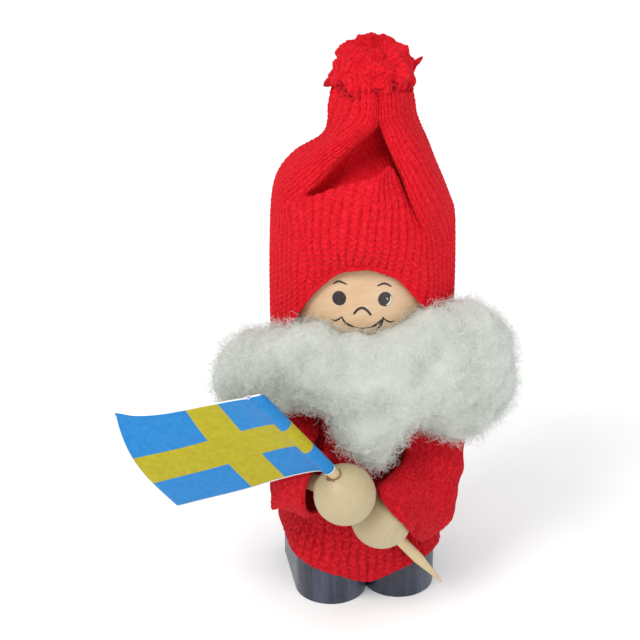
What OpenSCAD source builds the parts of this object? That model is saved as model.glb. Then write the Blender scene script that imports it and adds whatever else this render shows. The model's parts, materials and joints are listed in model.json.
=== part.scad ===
// Tomte gnome figurine: a wooden doll in a knitted hat and sweater that holds a toothpick flag.
// Millimetres. The figure faces -Y, +Z is up, and the origin is on the ground under its axis.
// Left and right are the figure's own: its left hand is on the +X side.

/* [Foot block] */
// Thickness of the two-toed block that the figure stands on
foot_t = 10; // [7:0.5:14]
// Radius of each toe
toe_r = 7.3; // [7:0.1:9]
// Distance of each toe's centre from the middle of the block
toe_x = 7; // [5.5:0.1:7]
// How far the toes' centres lie in front of the axis
toe_y = 5.3; // [3:0.1:9]
// How far the heel lies behind the axis
heel_y = 12; // [8:0.5:14]
// Radius of the heel's corners
heel_r = 4; // [2:0.5:6]
// Turn of the block about the figure's axis, towards its left
foot_turn = 11.5; // [-20:0.5:20]

/* [Body core] */
// Length of the turned body from the block to the neck
core_h = 42; // [34:1:52]
// Radius of the body at the block
core_base_r = 11.8; // [9:0.1:12.5]
// Radius of the body at the shoulders
core_top_r = 8.6; // [7:0.1:10]
// Radius of the neck under the head
neck_r = 5.4; // [4:0.1:6]
// Height of the rounded shoulders
shoulder_h = 9; // [6:0.5:12]

/* [Dowels] */
// Diameter of the dowel between the block and the body
foot_dowel_d = 6; // [4:0.5:8]
// Diameter of the dowel between the body and the head
neck_dowel_d = 5; // [3:0.5:6]
// Depth of each dowel's hole, the same at both of its ends
dowel_depth = 6.5; // [4:0.5:7]
// Room for glue around a dowel and at its ends
glue_gap = 0.05; // [0.02:0.01:0.1]

/* [Head] */
// Diameter of the head ball
head_d = 32; // [26:0.5:38]
// Height of the flat turned on the ball's underside
head_flat = 1.2; // [0.8:0.1:2]

/* [Sweater] */
// Thickness of the knitted fabric
knit_t = 1.6; // [1.2:0.1:2]
// Slack between the fabric and the wood inside it
knit_slack = 0.3; // [0.2:0.05:0.5]
// How far the ribbed hem reaches down over the foot block
hem_drop = 4.2; // [2:0.2:6]

/* [Arms] */
// Diameter of the peg that joins a hand ball to its sleeve
peg_d = 3.4; // [2.4:0.1:4]
// Length of that peg
peg_l = 9; // [7:0.5:10]
// Radius of a sleeve at the shoulder and elbow
sleeve_r = 5.2; // [4:0.1:6]
// Radius of a sleeve at its cuff
cuff_r = 4.6; // [4:0.1:5.5]
// Gap that keeps soft pieces off what they lie beside
soft_gap = 0.3; // [0.2:0.05:0.5]

/* [Hands and flag] */
// Diameter of each hand ball
hand_d = 12; // [10:0.5:14]
// Gap between the two hand balls
hand_gap = 0.18; // [0.1:0.02:0.5]
// Diameter of the flag's stick
stick_d = 2.2; // [1.8:0.1:3]
// Radial room between the stick and the holes in the hands
stick_fit = 0.06; // [0.02:0.01:0.1]
// Length of the stick
stick_l = 70; // [60:1:90]
// Length of the stick's tapered point
point_l = 10; // [5:1:14]
// Lean of the stick from upright
stick_lean = 37.2; // [30:0.2:42]
// Height of the paper flag along the stick
flag_h = 24.5; // [18:0.5:24.5]
// Length of the paper flag from the stick to its free edge
flag_l = 33; // [20:0.5:40]
// Thickness of the doubled paper
paper_t = 0.4; // [0.3:0.05:0.6]

/* [Hat] */
// Gap between the hat and the head ball
hat_gap = 0.35; // [0.3:0.05:0.6]
// Thickness of the hat's knitted wall
hat_t = 1.75; // [1.4:0.05:2.2]
// Height of the hat from its brim to the top of its gathered end
hat_h = 61.5; // [56:0.5:70]
// How far the brim hangs below the middle of the head
brim_drop = 11.5; // [8:0.5:13]
// How far the front of the brim arches above the middle of the head
brim_rise = 11.5; // [8:0.5:13]
// Radius of the brim's arch over the face
arch_r = 11.2; // [9:0.1:12]
// Diameter of the thread that ties the hat's end
thread_d = 0.8; // [0.6:0.1:1.2]

/* [Beard] */
// Radius of the wool at the figure's right cheek
cheek_right_r = 9; // [7:0.5:11]
// Radius of the wool at the figure's left cheek
cheek_left_r = 10.5; // [8:0.5:12]
// How far each cheek's wool stands out sideways from the axis
cheek_x = 20.5; // [18:0.5:24]
// Radius of the wool under the chin
chin_r = 8.5; // [8:0.5:9.5]
// Radius of the roll of wool between each cheek and the chin
roll_r = 7; // [5:0.5:7.5]
// Radius of the beard's tip
tip_r = 4; // [3:0.5:6]

/* [Hidden] */
$fn = 96;
cut = 1; // how far a cutting shape runs past the face that it cuts
bend_swell = 1.04; // radius of a bend in an arm over that of its straight lengths
head_r = head_d / 2;
hand_r = hand_d / 2;
stick_r = stick_d / 2;
peg_start = stick_r + 2.2; // distance of a peg's end from the middle of its hand
core_z = foot_t;
neck_z = core_z + core_h;
shoulder_z = neck_z - shoulder_h;
head_z = neck_z + head_r - head_flat;
hole_depth = dowel_depth + glue_gap;

// Stick frame: its origin is where the stick passes the right hand, and +Z runs up the stick.
stick_turn = 215; // direction that the stick leans to
flag_turn = -54; // turn of the flag about the stick
grip = [-2, -12.5 - core_base_r, neck_z - 17.7];
grip_below = 37.8; // length of stick below the grip point
grip_off_right = 1.3; // distance of the right hand's middle from its hole
grip_off_left = -0.5; // and of the left hand's
hand_pitch = sqrt(pow(hand_d + hand_gap, 2) - pow(grip_off_right - grip_off_left, 2));
stick_top = stick_l - grip_below;
wrap_r = stick_r + paper_t;

function lean_point(p) = [
    p[0] * cos(stick_lean) + p[2] * sin(stick_lean),
    p[1],
    p[2] * cos(stick_lean) - p[0] * sin(stick_lean)
];
function turn_point(p) = [
    p[0] * cos(stick_turn) - p[1] * sin(stick_turn),
    p[0] * sin(stick_turn) + p[1] * cos(stick_turn),
    p[2]
];
function on_stick(p) = grip + turn_point(lean_point(p));
hand_right = on_stick([grip_off_right, 0, 0]);
hand_left = on_stick([grip_off_left, 0, -hand_pitch]);

// Arms: shoulder, elbow and cuff of each sleeve's middle line
shoulder_right = [-core_top_r - 5, -2, shoulder_z + 1];
shoulder_left = [core_top_r + 5.8, -2, shoulder_z + 1];
elbow_right = [-core_base_r - 2, -10.5, foot_t + 14];
elbow_left = [core_base_r + 3.8, -10.5, foot_t + 6.5];
cuff_right = hand_right + [-0.78, 0.62, -0.05] * (hand_r + 1.5);
cuff_left = hand_left + [0.86, 0.42, -0.28] * (hand_r + 1);

// Beard: middles of its tufts of wool, and the flats that they are drawn with
wool_flats = 12;
flats_room = 1 / pow(cos(180 / wool_flats), 2); // keeps a round piece clear of a cut made of flats
cheek_right = [-cheek_x, -5, head_z - 18];
cheek_left = [cheek_x, -5, head_z - 16.5];
chin = [0, -head_r + 1.5, head_z - 15];
tip = [2.5, -head_r - 0.5, head_z - 27.5];

// Hat: heights of its profile
hat_in_r = head_r + hat_gap;
hat_out_r = hat_in_r + hat_t;
brim_z = head_z - brim_drop;
hat_top = brim_z + hat_h;
bun_r = 8;
bun_x = 1.5;
tie_z = hat_top - 2 * bun_r + 2.6;
tie_r = 6;
crown_z = head_z + head_r + 1;
arch_z = head_z + brim_rise - arch_r;

module foot_outline(grow = 0) {
    rotate(foot_turn) {
        for (side = [-1, 1]) {
            translate([side * toe_x, -toe_y]) circle(r = toe_r + grow);
            translate([side * (toe_x + toe_r - heel_r), heel_y - heel_r]) circle(r = heel_r + grow);
        }
        translate([-toe_x - toe_r - grow, -toe_y])
            square([2 * (toe_x + toe_r + grow), toe_y + heel_y - heel_r]);
        translate([-toe_x - toe_r + heel_r, heel_y - heel_r])
            square([2 * (toe_x + toe_r - heel_r), heel_r + grow]);
    }
}

// Outline of the fabric that is pulled over the block: it spans the notch between the toes.
module hem_outline(grow) {
    foot_outline(grow);
    rotate(foot_turn)
        translate([-toe_x, -toe_y - toe_r - grow])
            square([2 * toe_x, toe_r + grow]);
}

// Side of the turned body from the block to the neck, as a profile around the axis
module core_profile(grow = 0, top = neck_z) {
    neck_out = neck_r + grow;
    top_out = core_top_r + grow;
    polygon(concat(
        [[0, core_z], [core_base_r + grow, core_z], [top_out, shoulder_z]],
        [for (a = [15 : 15 : 90])
            [neck_out + (top_out - neck_out) * cos(a), shoulder_z + (top - shoulder_z) * sin(a)]],
        [[0, top]]
    ));
}

// Everything that the sweater's tube and hem fill or enclose, grown by a gap
module sweater_envelope(grow) {
    rotate_extrude() core_profile(knit_slack + knit_t + grow, neck_z + grow);
    translate([0, 0, foot_t - hem_drop - grow])
        linear_extrude(hem_drop + knit_slack + knit_t + 2 * grow)
            hem_outline(knit_slack + knit_t + grow);
}

// Turns what is drawn along +Z to point from one place to another
module aim(a, b) {
    d = b - a;
    translate(a) rotate([0, acos(d[2] / norm(d)), atan2(d[1], d[0])]) children();
}

module rod(a, b, r) {
    aim(a, b) cylinder(h = norm(b - a), r = r);
}

// Shoulder to elbow to hand, with a round shoulder and a round bend
module arm_line(shoulder, elbow, hand, r_top, r_end) {
    translate(shoulder) sphere(r = r_top * bend_swell);
    rod(shoulder, elbow, r_top);
    translate(elbow) sphere(r = r_top * bend_swell);
    rod(elbow, hand, r_end);
}

module place_on_stick() {
    translate(grip) rotate([0, stick_lean, stick_turn]) children();
}

module stick_channel(gap) {
    place_on_stick()
        translate([0, 0, -grip_below - cut])
            cylinder(h = stick_l + 2 * cut, r = stick_r + gap);
}

module foot_block() {
    color("#2b3145")
        difference() {
            linear_extrude(foot_t) foot_outline();
            translate([0, 0, foot_t - hole_depth])
                cylinder(h = hole_depth + cut, d = foot_dowel_d + 2 * glue_gap);
        }
}

module foot_dowel() {
    color("burlywood")
        translate([0, 0, core_z - dowel_depth])
            cylinder(h = 2 * dowel_depth, d = foot_dowel_d);
}

module body_core() {
    color("wheat")
        difference() {
            rotate_extrude() core_profile();
            translate([0, 0, core_z - cut])
                cylinder(h = hole_depth + cut, d = foot_dowel_d + 2 * glue_gap);
            translate([0, 0, neck_z - hole_depth])
                cylinder(h = hole_depth + cut, d = neck_dowel_d + 2 * glue_gap);
        }
}

module neck_dowel() {
    color("burlywood")
        translate([0, 0, neck_z - dowel_depth])
            cylinder(h = 2 * dowel_depth, d = neck_dowel_d);
}

module head_ball() {
    color("bisque")
        difference() {
            translate([0, 0, head_z]) sphere(r = head_r);
            translate([0, 0, neck_z - head_r])
                cylinder(h = head_r, r = head_r);
            translate([0, 0, neck_z - cut])
                cylinder(h = hole_depth + cut, d = neck_dowel_d + 2 * glue_gap);
        }
}

module sweater_body() {
    color("crimson")
        difference() {
            sweater_envelope(0);
            rotate_extrude() core_profile(knit_slack, neck_z + cut);
            translate([0, 0, foot_t - hem_drop - cut])
                linear_extrude(hem_drop + cut + knit_slack) foot_outline(knit_slack);
            translate([0, 0, head_z]) sphere(r = head_r + soft_gap);
        }
}

// Wooden peg glued into the ball, with the end of the sleeve drawn over it
module hand_peg(hand, cuff) {
    aim(hand, cuff)
        translate([0, 0, peg_start])
            cylinder(h = peg_l, d = peg_d);
}

module hand_peg_right() {
    color("burlywood") hand_peg(hand_right, cuff_right);
}

module hand_peg_left() {
    color("burlywood") hand_peg(hand_left, cuff_left);
}

// Slack knitted sleeve, cut clear of the body, the hand, its peg and the stick
module sleeve(shoulder, elbow, cuff, hand) {
    difference() {
        arm_line(shoulder, elbow, cuff, sleeve_r, cuff_r);
        sweater_envelope(soft_gap);
        aim(hand, cuff)
            cylinder(h = peg_start + peg_l + soft_gap, d = peg_d + 2 * glue_gap);
        translate(hand) sphere(r = hand_r + soft_gap / 2);
        stick_channel(soft_gap + stick_fit);
    }
}

module sleeve_right() {
    color("crimson") sleeve(shoulder_right, elbow_right, cuff_right, hand_right);
}

module sleeve_left() {
    color("crimson") sleeve(shoulder_left, elbow_left, cuff_left, hand_left);
}

// Turned ball with a hole through it for the stick and a blind one for its peg
module hand_ball(hand, cuff) {
    difference() {
        translate(hand) sphere(r = hand_r);
        stick_channel(stick_fit);
        aim(hand, cuff)
            translate([0, 0, peg_start - glue_gap])
                cylinder(h = hand_r, d = peg_d + 2 * glue_gap);
    }
}

module hand_ball_right() {
    color("wheat") hand_ball(hand_right, cuff_right);
}

module hand_ball_left() {
    color("wheat") hand_ball(hand_left, cuff_left);
}

// Roll of combed wool from cheek to cheek with a tip under the chin. Wool has no true rounds, so
// it is drawn in flats of twelve to a turn, and what it clears is drawn that much larger.
module beard() {
    color("gainsboro") wool_roll($fn = wool_flats);
}

module wool_roll() {
    difference() {
        union() {
            tuft(cheek_right, cheek_right_r);
            tuft(cheek_left, cheek_left_r);
            tuft(chin, chin_r);
            tuft(tip, tip_r);
            rod(cheek_right, chin, roll_r);
            rod(cheek_left, chin, roll_r);
            rod(chin, tip, tip_r * 0.9);
        }
        translate([0, 0, head_z]) sphere(r = (head_r + soft_gap) * flats_room);
        chest_room();
        arm_room(shoulder_right, elbow_right);
        arm_room(shoulder_left, elbow_left);
        hat_room();
    }
}

module tuft(place, r) {
    translate(place) sphere(r = r);
}

// Room for the sweater behind the wool, up to the head
module chest_room() {
    around = knit_slack + knit_t + soft_gap;
    translate([0, 0, core_z])
        cylinder(
            h = neck_z - core_z,
            r1 = (core_base_r + around) * flats_room,
            r2 = (core_top_r + around) * flats_room
        );
}

// Room for a sleeve's upper half, past its round shoulder
module arm_room(shoulder, elbow) {
    aim(elbow, shoulder)
        cylinder(
            h = norm(shoulder - elbow) + sleeve_r * bend_swell + soft_gap,
            r = (sleeve_r * bend_swell + soft_gap) * flats_room
        );
}

// Room for the hat's sides, here and as it is lifted: the wool passes it only in front of the face
module hat_room() {
    difference() {
        translate([0, 0, brim_z - soft_gap])
            cylinder(h = hat_h, r = (hat_out_r + soft_gap) * flats_room);
        translate([-arch_r + soft_gap, -2 * hat_out_r, brim_z - soft_gap - cut])
            cube([2 * (arch_r - soft_gap), 2 * hat_out_r, brim_drop]);
    }
}

// Opening over the face: round at its top, straight at its sides
module face_arch() {
    translate([0, 0, arch_z]) rotate([90, 0, 0]) cylinder(h = 2 * hat_out_r, r = arch_r);
    translate([-arch_r, -2 * hat_out_r, brim_z - cut])
        cube([2 * arch_r, 2 * hat_out_r, arch_z - brim_z + cut]);
}

// Knitted tube drawn together at its end, tied, and turned over into a bun
module hat() {
    color("crimson")
        difference() {
            union() {
                rotate_extrude()
                    polygon([
                        [0, brim_z], [hat_out_r, brim_z], [hat_out_r, crown_z],
                        [hat_out_r - 1.5, crown_z + 4], [hat_out_r - 5.5, crown_z + 11],
                        [tie_r + 2, tie_z - 3], [tie_r, tie_z - thread_d],
                        [tie_r, tie_z + thread_d], [tie_r + 1.5, tie_z + thread_d + 1],
                        [0, tie_z + thread_d + 1]
                    ]);
                bun();
            }
            translate([0, 0, brim_z - cut])
                cylinder(h = head_z - brim_z + cut, r = hat_in_r);
            translate([0, 0, head_z]) sphere(r = hat_in_r);
            face_arch();
        }
}

module bun() {
    difference() {
        translate([bun_x, 0, hat_top - bun_r]) sphere(r = bun_r);
        translate([0, 0, tie_z - 2 * bun_r]) cylinder(h = 2 * bun_r + thread_d, r = 2 * bun_r);
    }
}

// Two turns of thread that hold the gathered end together
module hat_tie_thread() {
    color("firebrick")
        for (side = [-1, 1])
            translate([0, 0, tie_z + side * thread_d / 2])
                rotate_extrude()
                    translate([tie_r + thread_d / 2, 0]) circle(d = thread_d, $fn = 24);
}

module flag_stick() {
    color("tan")
        place_on_stick() {
            translate([0, 0, -grip_below + point_l]) cylinder(h = stick_l - point_l, r = stick_r);
            translate([0, 0, -grip_below])
                cylinder(h = point_l, r1 = stick_r * 0.2, r2 = stick_r);
        }
}

// Paper wrapped once round the stick, its two halves glued face to face
module flag_paper() {
    color("steelblue")
        place_on_stick()
            translate([0, 0, stick_top - flag_h])
                rotate(flag_turn)
                    difference() {
                        union() {
                            cylinder(h = flag_h, r = wrap_r);
                            translate([0, -paper_t / 2, 0]) cube([flag_l, paper_t, flag_h]);
                        }
                        translate([0, 0, -cut]) cylinder(h = flag_h + 2 * cut, r = stick_r);
                    }
}

foot_block();
foot_dowel();
body_core();
neck_dowel();
head_ball();
sweater_body();
hand_peg_right();
hand_peg_left();
sleeve_right();
sleeve_left();
hand_ball_right();
hand_ball_left();
beard();
hat();
hat_tie_thread();
flag_stick();
flag_paper();
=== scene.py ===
import json
import math

import bpy
import numpy as np
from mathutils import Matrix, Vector


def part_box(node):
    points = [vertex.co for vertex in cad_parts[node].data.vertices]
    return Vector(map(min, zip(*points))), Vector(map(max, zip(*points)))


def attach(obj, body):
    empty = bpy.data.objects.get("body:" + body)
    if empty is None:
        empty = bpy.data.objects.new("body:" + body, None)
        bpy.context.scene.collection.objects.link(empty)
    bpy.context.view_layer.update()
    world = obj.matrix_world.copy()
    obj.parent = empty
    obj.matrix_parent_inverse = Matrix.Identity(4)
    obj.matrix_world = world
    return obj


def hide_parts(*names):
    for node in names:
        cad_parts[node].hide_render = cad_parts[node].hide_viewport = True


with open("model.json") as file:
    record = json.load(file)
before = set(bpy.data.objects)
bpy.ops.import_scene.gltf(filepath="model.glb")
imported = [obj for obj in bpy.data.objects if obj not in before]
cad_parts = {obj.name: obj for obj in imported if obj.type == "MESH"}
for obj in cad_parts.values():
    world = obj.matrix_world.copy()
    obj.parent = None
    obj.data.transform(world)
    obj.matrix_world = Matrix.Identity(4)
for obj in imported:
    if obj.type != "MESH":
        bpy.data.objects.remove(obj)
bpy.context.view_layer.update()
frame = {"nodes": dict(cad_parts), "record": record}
mm = 0.001

# --- Camera, table and light
# The doll stands on a pale table in soft daylight and is looked at from a little above its head.
# Broad lamps on its right side and over it leave only a faint shadow on the table.
camera_data = bpy.data.cameras.new("camera")
camera_data.lens = 120.5
camera_data.sensor_width = 36
camera = bpy.data.objects.new("camera", camera_data)
bpy.context.collection.objects.link(camera)
camera.location = (0, -0.3708, 0.2552)
camera_aim = Vector((-0.00814, 0, 0.058))
camera.rotation_euler = (camera_aim - camera.location).to_track_quat("-Z", "Y").to_euler()
bpy.context.scene.camera = camera

bpy.context.scene.view_settings.view_transform = "Standard"
sky = bpy.data.worlds.new("sky")
sky.use_nodes = True
sky.node_tree.nodes["Background"].inputs["Color"].default_value = (0.96, 0.98, 1, 1)
sky.node_tree.nodes["Background"].inputs["Strength"].default_value = 0.6
bpy.context.scene.world = sky


def lamp(name, place, size, power, colour=(1, 1, 1)):
    data = bpy.data.lights.new(name, "AREA")
    data.size = size
    data.energy = power
    data.color = colour
    made = bpy.data.objects.new(name, data)
    bpy.context.collection.objects.link(made)
    made.location = place
    made.rotation_euler = (Vector((0, 0, 0.06)) - Vector(place)).to_track_quat("-Z", "Y").to_euler()


lamp("window", (-0.45, -0.5, 0.75), 0.45, 5.3, (1, 0.99, 0.97))
lamp("ceiling", (0.15, -0.1, 0.9), 0.7, 1.6)
lamp("front", (0.5, -0.7, 0.3), 0.5, 1.7, (0.95, 0.98, 1))



def pick(*pieces):
    """Selects these pieces and nothing else, the first of them active."""
    bpy.ops.object.select_all(action="DESELECT")
    for piece in pieces:
        piece.select_set(True)
        bpy.context.view_layer.objects.active = pieces[0]


pick()
bpy.ops.mesh.primitive_plane_add(size=6)
table_top = bpy.context.object
table_top.name = "table_top"


def colour(red, green, blue):
    """A shade as it is picked on a screen, 0 to 255, made linear."""
    parts = [c / 255 for c in (red, green, blue)]
    return tuple(c / 12.92 if c < 0.04 else ((c + 0.055) / 1.055) ** 2.4 for c in parts) + (1,)


def new_finish(name, shade, roughness):
    finish = bpy.data.materials.new(name)
    finish.use_nodes = True
    tune(finish, {"Base Color": shade, "Roughness": roughness})
    finish.diffuse_color = shade
    return finish


def put(finish, kind, sockets=(), **settings):
    """Adds a node. A socket's value is either a plain value or the output that feeds it."""
    made = finish.node_tree.nodes.new("ShaderNode" + kind)
    for name, value in settings.items():
        setattr(made, name, value)
    for name, value in dict(sockets).items():
        if isinstance(value, bpy.types.NodeSocket):
            finish.node_tree.links.new(value, made.inputs[name])
        else:
            made.inputs[name].default_value = value
    return made


def shader_of(finish):
    return finish.node_tree.nodes["Principled BSDF"]


def tune(finish, sockets):
    """Sets constants on the shader's own sockets."""
    for socket, value in sockets.items():
        shader_of(finish).inputs[socket].default_value = value


def give(finish, output, socket):
    finish.node_tree.links.new(output, shader_of(finish).inputs[socket])


def shades(finish, amount, *stops):
    ramp = put(finish, "ValToRGB", {"Fac": amount})
    elements = ramp.color_ramp.elements
    while len(elements) < len(stops):
        elements.new(0.5)
    for element, (place, shade) in zip(elements, stops):
        element.position = place
        element.color = shade
    return ramp.outputs["Color"]


def mixed(finish, amount, first, second, blend="MIX"):
    sockets = {"Fac": amount, "Color1": first, "Color2": second}
    return put(finish, "MixRGB", sockets, blend_type=blend).outputs["Color"]


def math_of(finish, what, *values):
    return put(finish, "Math", dict(enumerate(values)), operation=what).outputs[0]


def stretched(finish, scale=(1, 1, 1), turn=(0, 0, 0), move=(0, 0, 0)):
    """The object's own coordinates, moved, turned and stretched."""
    place = put(finish, "TexCoord").outputs["Object"]
    moved = put(finish, "Mapping", {"Vector": place, "Location": move, "Rotation": turn})
    return put(finish, "Mapping", {"Vector": moved.outputs[0], "Scale": scale}).outputs[0]


def cloudy(finish, place, scale, detail=3.0, distortion=0.0, roughness=0.55):
    sockets = {"Vector": place, "Scale": scale, "Detail": detail, "Distortion": distortion,
               "Roughness": roughness}
    return put(finish, "TexNoise", sockets).outputs["Fac"]


def bump(finish, height, distance, strength=1.0, after=None):
    sockets = {"Height": height, "Distance": distance, "Strength": strength}
    if after:
        sockets["Normal"] = after
    return put(finish, "Bump", sockets).outputs["Normal"]


def mottle(finish, scale, *stops):
    """Gives the finish small clouds of two shades."""
    clouds = cloudy(finish, stretched(finish), scale)
    give(finish, shades(finish, clouds, *stops), "Base Color")


table_finish = new_finish("table_top", colour(250, 250, 250), 0.75)
mottle(table_finish, 40, (0.3, colour(248, 248, 248)), (0.7, colour(253, 253, 253)))
tune(table_finish, {"Emission Color": (1, 1, 1, 1), "Emission Strength": 0.13})
table_top.data.materials.append(table_finish)

# --- Foot block
# A beech block sawn to the outline of two round toes and a square heel, edges eased with
# sandpaper. It is dipped in navy paint, which dries satin and lets the grain show through.
def copy_of(node, name):
    """A fabricator's copy of a CAD piece with its loose triangles merged into faces."""
    source = frame["nodes"][node]
    piece = bpy.data.objects.new(name, source.data.copy())
    bpy.context.collection.objects.link(piece)
    pick(piece)
    bpy.ops.object.mode_set(mode="EDIT")
    bpy.ops.mesh.select_all(action="SELECT")
    bpy.ops.mesh.remove_doubles(threshold=0.004 * mm)
    bpy.ops.mesh.dissolve_limited(angle_limit=math.radians(0.6))
    bpy.ops.object.mode_set(mode="OBJECT")
    piece.data.materials.clear()
    return piece


def apply_all(piece):
    pick(piece)
    for modifier in list(piece.modifiers):
        bpy.ops.object.modifier_apply(modifier=modifier.name)


def grey(share):
    """A linear grey, from 0, black, to 1, white."""
    return (share, share, share, 1)


foot_block = copy_of("foot_block", "foot_block_painted")
ease = foot_block.modifiers.new("ease", "BEVEL")
ease.width = 0.7 * mm
ease.segments = 3
ease.limit_method = "ANGLE"
ease.angle_limit = math.radians(40)
apply_all(foot_block)
bpy.ops.object.shade_smooth_by_angle(angle=math.radians(40))

navy_paint = new_finish("navy_paint", colour(44, 50, 66), 0.3)
fibres_of_wood = stretched(navy_paint, (1500, 260, 900), (0, 0, 0.3))
grain = cloudy(navy_paint, fibres_of_wood, 1.0, 4, 0.4)
patches = cloudy(navy_paint, stretched(navy_paint), 220)
paint = shades(navy_paint, grain, (0.25, colour(24, 28, 40)), (0.55, colour(40, 47, 65)),
               (0.8, colour(66, 73, 94)))
# Lighter vertical streaks mixed into the paint's colour are painted reflection: the satin gloss
# seen along the block's walls.
gloss_streak_noise = cloudy(navy_paint, stretched(navy_paint, (420, 420, 30)), 1.0, 3, 0.3)
painted_gloss_streaks = shades(navy_paint, gloss_streak_noise, (0.42, grey(0)), (0.68, grey(0.75)))
paint = mixed(navy_paint, patches, paint, colour(34, 38, 54))
give(navy_paint, mixed(navy_paint, painted_gloss_streaks, paint, colour(76, 84, 104)), "Base Color")
give(navy_paint, shades(navy_paint, grain, (0.2, grey(0.42)), (0.8, grey(0.22))),
     "Roughness")
give(navy_paint, bump(navy_paint, grain, 0.05 * mm, 0.5), "Normal")
foot_block.data.materials.append(navy_paint)
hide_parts("foot_block")
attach(foot_block, "doll")

# --- Turned wood: body, dowels and hand pegs
# The body is turned from birch and left bare under the sweater. Beech dowels join it to the
# block and to the head, and two short beech pegs join the hands to their sleeves.
def mixed_shade(first, second, share):
    return tuple(a + (b - a) * share for a, b in zip(first, second))


def wood_finish(name, pale, dark, scale, turn, roughness, rings=1.0, move=(0, 0, 0)):
    """Turned wood: growth rings cut across, short pores along them, and a dusty surface."""
    finish = new_finish(name, pale, roughness)
    along = stretched(finish, scale, turn, move)
    wander = cloudy(finish, stretched(finish, turn=turn, move=move), 180, 2)
    ring_sockets = {"Vector": along, "Scale": 0.35 * rings, "Distortion": 2.6, "Detail": 2.0,
                    "Detail Scale": 0.8}
    ring = put(finish, "TexWave", ring_sockets, wave_profile="SIN").outputs["Fac"]
    pores = cloudy(finish, along, 2.2, 4)
    tone = shades(finish, ring, (0.1, mixed_shade(dark, pale, 0.8)), (0.5, pale), (0.95, pale))
    tone = mixed(finish, math_of(finish, "MULTIPLY", wander, 0.5), tone, dark)
    tone = mixed(finish, shades(finish, pores, (0.28, grey(0.5)), (0.42, grey(0))),
                 tone, tuple(0.6 * c for c in dark[:3]) + (1,))
    give(finish, tone, "Base Color")
    give(finish, bump(finish, pores, 0.03 * mm, 0.5), "Normal")
    return finish


def dress(node, finish):
    """Gives a CAD piece that keeps its shape its real finish."""
    piece = frame["nodes"][node]
    for place in piece.material_slots:
        place.material = finish


turned_birch = wood_finish("turned_birch", colour(190, 175, 138), colour(172, 150, 110),
                           (500, 500, 120), (0.2, 0.1, 0), 0.6)
dowel_beech = wood_finish("dowel_beech", colour(206, 176, 136), colour(190, 150, 108),
                          (900, 900, 110), (0.1, 1.2, 0.5), 0.6)
dress("body_core", turned_birch)
for dowel in ("foot_dowel", "neck_dowel", "hand_peg_right", "hand_peg_left"):
    dress(dowel, dowel_beech)

# --- Head
# A birch ball with a thin skin-toned varnish. The face is printed on it in dark ink: two round
# eyes, short brows, a bowed nose and a smile with curled ends. A white crescent and a fleck on the
# figure's left eye are a painted highlight, the glint of light on the glossy ink.
head_wood = new_finish("head_wood", colour(236, 204, 170), 0.42)
head_grain = cloudy(head_wood, stretched(head_wood, (160, 160, 900), (0.35, 0.2, 0)), 1.0, 3, 0.6)
head_pores = cloudy(head_wood, stretched(head_wood, (300, 300, 2600), (0.35, 0.2, 0)), 1.0, 3)
skin = shades(head_wood, head_grain, (0.25, colour(196, 161, 123)), (0.5, colour(203, 170, 132)),
              (0.75, colour(207, 177, 142)))
give(head_wood, mixed(head_wood, shades(head_wood, head_pores, (0.3, grey(0.35)),
                                        (0.45, grey(0))), skin, colour(214, 176, 138)),
     "Base Color")
give(head_wood, bump(head_wood, head_pores, 0.02 * mm, 0.5), "Normal")
tune(head_wood, {"Coat Weight": 0.25, "Coat Roughness": 0.35})
dress("head_ball", head_wood)

head_low, head_high = [np.array(corner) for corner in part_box("head_ball")]
head_r = (head_high[0] - head_low[0]) / 2
head_middle = np.array([0, 0, head_high[2] - head_r])


def through(knots, at, closed=False):
    """Points on a smooth curve through the knots, at fractional places counted in knots."""
    count = len(knots)
    start = np.floor(at).astype(int)
    pick = [knots[(start + k) % count if closed else np.clip(start + k, 0, count - 1)]
            for k in (-1, 0, 1, 2)]
    a, b, c, d = pick
    t = (at - start).reshape(at.shape + (1,) * (a.ndim - at.ndim))
    return b + 0.5 * t * (c - a + t * (2 * a - 5 * b + 4 * c - d + t * (3 * (b - c) + d - a)))


def on_head(degrees, lift):
    """Where a place given as degrees sideways and up comes on the ball."""
    side, up = np.radians(degrees[..., 0]), np.radians(degrees[..., 1])
    out = np.stack([np.cos(up) * np.sin(side), -np.cos(up) * np.cos(side), np.sin(up)], -1)
    return head_middle + out * (head_r + lift)


def points_of(piece, what="co"):
    """The places of a piece's vertices, or with what="normal" the ways that they face."""
    values = np.empty(len(piece.data.vertices) * 3)
    piece.data.vertices.foreach_get(what, values)
    return values.reshape(-1, 3)


def laid_grid(name, across, along, place):
    """A grid primitive laid where place(u, v) says, for u and v from 0 to 1, row by row."""
    pick()
    bpy.ops.mesh.primitive_grid_add(x_subdivisions=across, y_subdivisions=along, size=2)
    piece = bpy.context.object
    piece.name = name
    flat = points_of(piece)[:, :2].round(6)
    order = np.lexsort((flat[:, 0], flat[:, 1]))
    rows = len(np.unique(flat[:, 1]))
    u, v = ((flat[order].reshape(rows, -1, 2) + 1) / 2).transpose(2, 0, 1)
    spots = np.empty((len(order), 3))
    spots[order] = place(u, v).reshape(-1, 3)
    piece.data.vertices.foreach_set("co", spots.ravel())
    piece.data.update()
    return piece, order


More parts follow.
